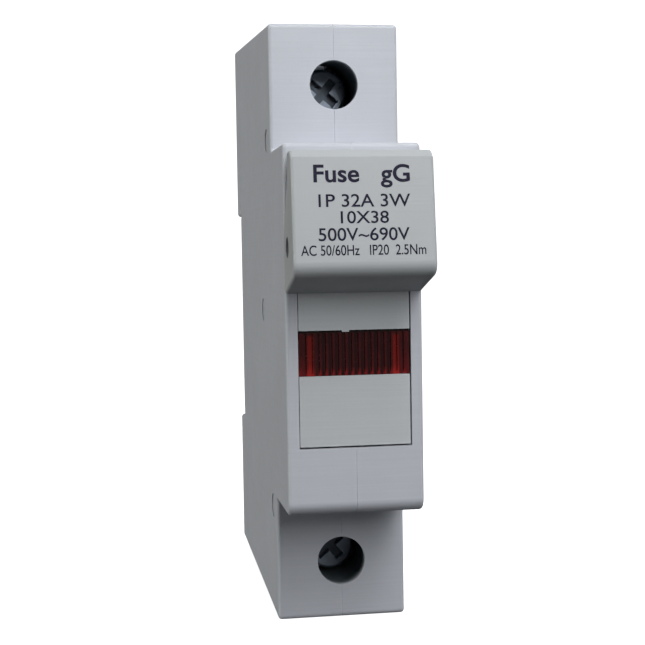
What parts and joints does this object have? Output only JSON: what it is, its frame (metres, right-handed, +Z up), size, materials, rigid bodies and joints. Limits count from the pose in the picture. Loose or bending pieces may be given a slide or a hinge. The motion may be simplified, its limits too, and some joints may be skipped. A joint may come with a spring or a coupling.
{
  "type": "modular fuse holder",
  "caption": "One-module rail-mounted fuse holder with a swing-out carrier, ribbed red indicator window and a cylindrical fuse link inside.",
  "frame": {"origin": "centre of the face that seats on the 35 mm rail", "axes": "+X across the module's width, +Y towards the rail behind, +Z up along the module's height"},
  "size_m": [0.0178, 0.0712, 0.0853],
  "materials": {
    "housing": "light grey moulded thermoplastic, fine satin",
    "carrier": "light grey moulded thermoplastic, fine satin",
    "lens": "clear red moulding with fine ribs",
    "lamp_glass": "clear glass",
    "resistor": "lacquered",
    "lead_wire": "tinned wire",
    "ceramic": "unglazed",
    "cap_metal": "nickel plated",
    "element": "bright strip",
    "sand": "compacted quartz sand",
    "copper": "tin plated copper, worn",
    "spring_steel": "spring steel",
    "rivet": "moulded rivet",
    "pin": "ground steel",
    "latch": "black moulded thermoplastic",
    "screw_steel": "zinc plated",
    "cage_steel": "zinc plated"
  },
  "bodies": {
    "base": {"housing_left": "housing", "housing_right": "housing", "housing_rivets": "rivet", "carrier_pivot_pin": "pin", "latch_spring": "spring_steel", "upper_contact_clip": "copper", "lower_contact_clip": "copper", "upper_clip_spring": "spring_steel", "lower_clip_spring": "spring_steel"},
    "carrier": {"fuse_carrier": "carrier", "indicator_lens": "lens", "indicator_lamp": "lamp_glass", "lamp_resistor": "resistor", "lamp_lead_upper": "lead_wire", "lamp_lead_lower": "lead_wire", "resistor_lead": "lead_wire", "fuse_tube": "ceramic", "fuse_cap_upper": "cap_metal", "fuse_cap_lower": "cap_metal", "fuse_element": "element", "fuse_sand": "sand"},
    "latch": {"rail_latch": "latch"},
    "upper_screw": {"upper_terminal_screw": "screw_steel"},
    "lower_screw": {"lower_terminal_screw": "screw_steel"},
    "upper_cage": {"upper_clamp_cage": "cage_steel"},
    "lower_cage": {"lower_clamp_cage": "cage_steel"}
  },
  "joints": [
    {"name": "carrier_swing", "type": "hinge", "parent": "base", "child": "carrier", "pos_m": [0, -0.052, -0.019], "axis": [1, 0, 0], "range_deg": [0, 75]},
    {"name": "upper_screw_turn", "type": "hinge", "parent": "base", "child": "upper_screw", "pos_m": [0, -0.0325, 0.0328], "axis": [0, 1, 0], "range_deg": [0, 1800]},
    {"name": "upper_cage_slide", "type": "slide", "parent": "base", "child": "upper_cage", "axis": [0, -1, 0], "range_m": [0, 0.004]},
    {"name": "lower_screw_turn", "type": "hinge", "parent": "base", "child": "lower_screw", "pos_m": [0, -0.0325, -0.0328], "axis": [0, 1, 0], "range_deg": [0, 1800]},
    {"name": "lower_cage_slide", "type": "slide", "parent": "base", "child": "lower_cage", "axis": [0, -1, 0], "range_m": [0, 0.004]},
    {"name": "rail_latch_slide", "type": "slide", "parent": "base", "child": "latch", "axis": [0, 0, -1], "range_m": [0, 0.004], "stiffness_N_per_m": 800, "springref_m": -0.004, "deforming": ["latch_spring"]}
  ],
  "couplings": [
    {"joint": "upper_screw_turn", "follows": "upper_cage_slide", "rad_per_m": 7854},
    {"joint": "lower_screw_turn", "follows": "lower_cage_slide", "rad_per_m": 7854}
  ]
}
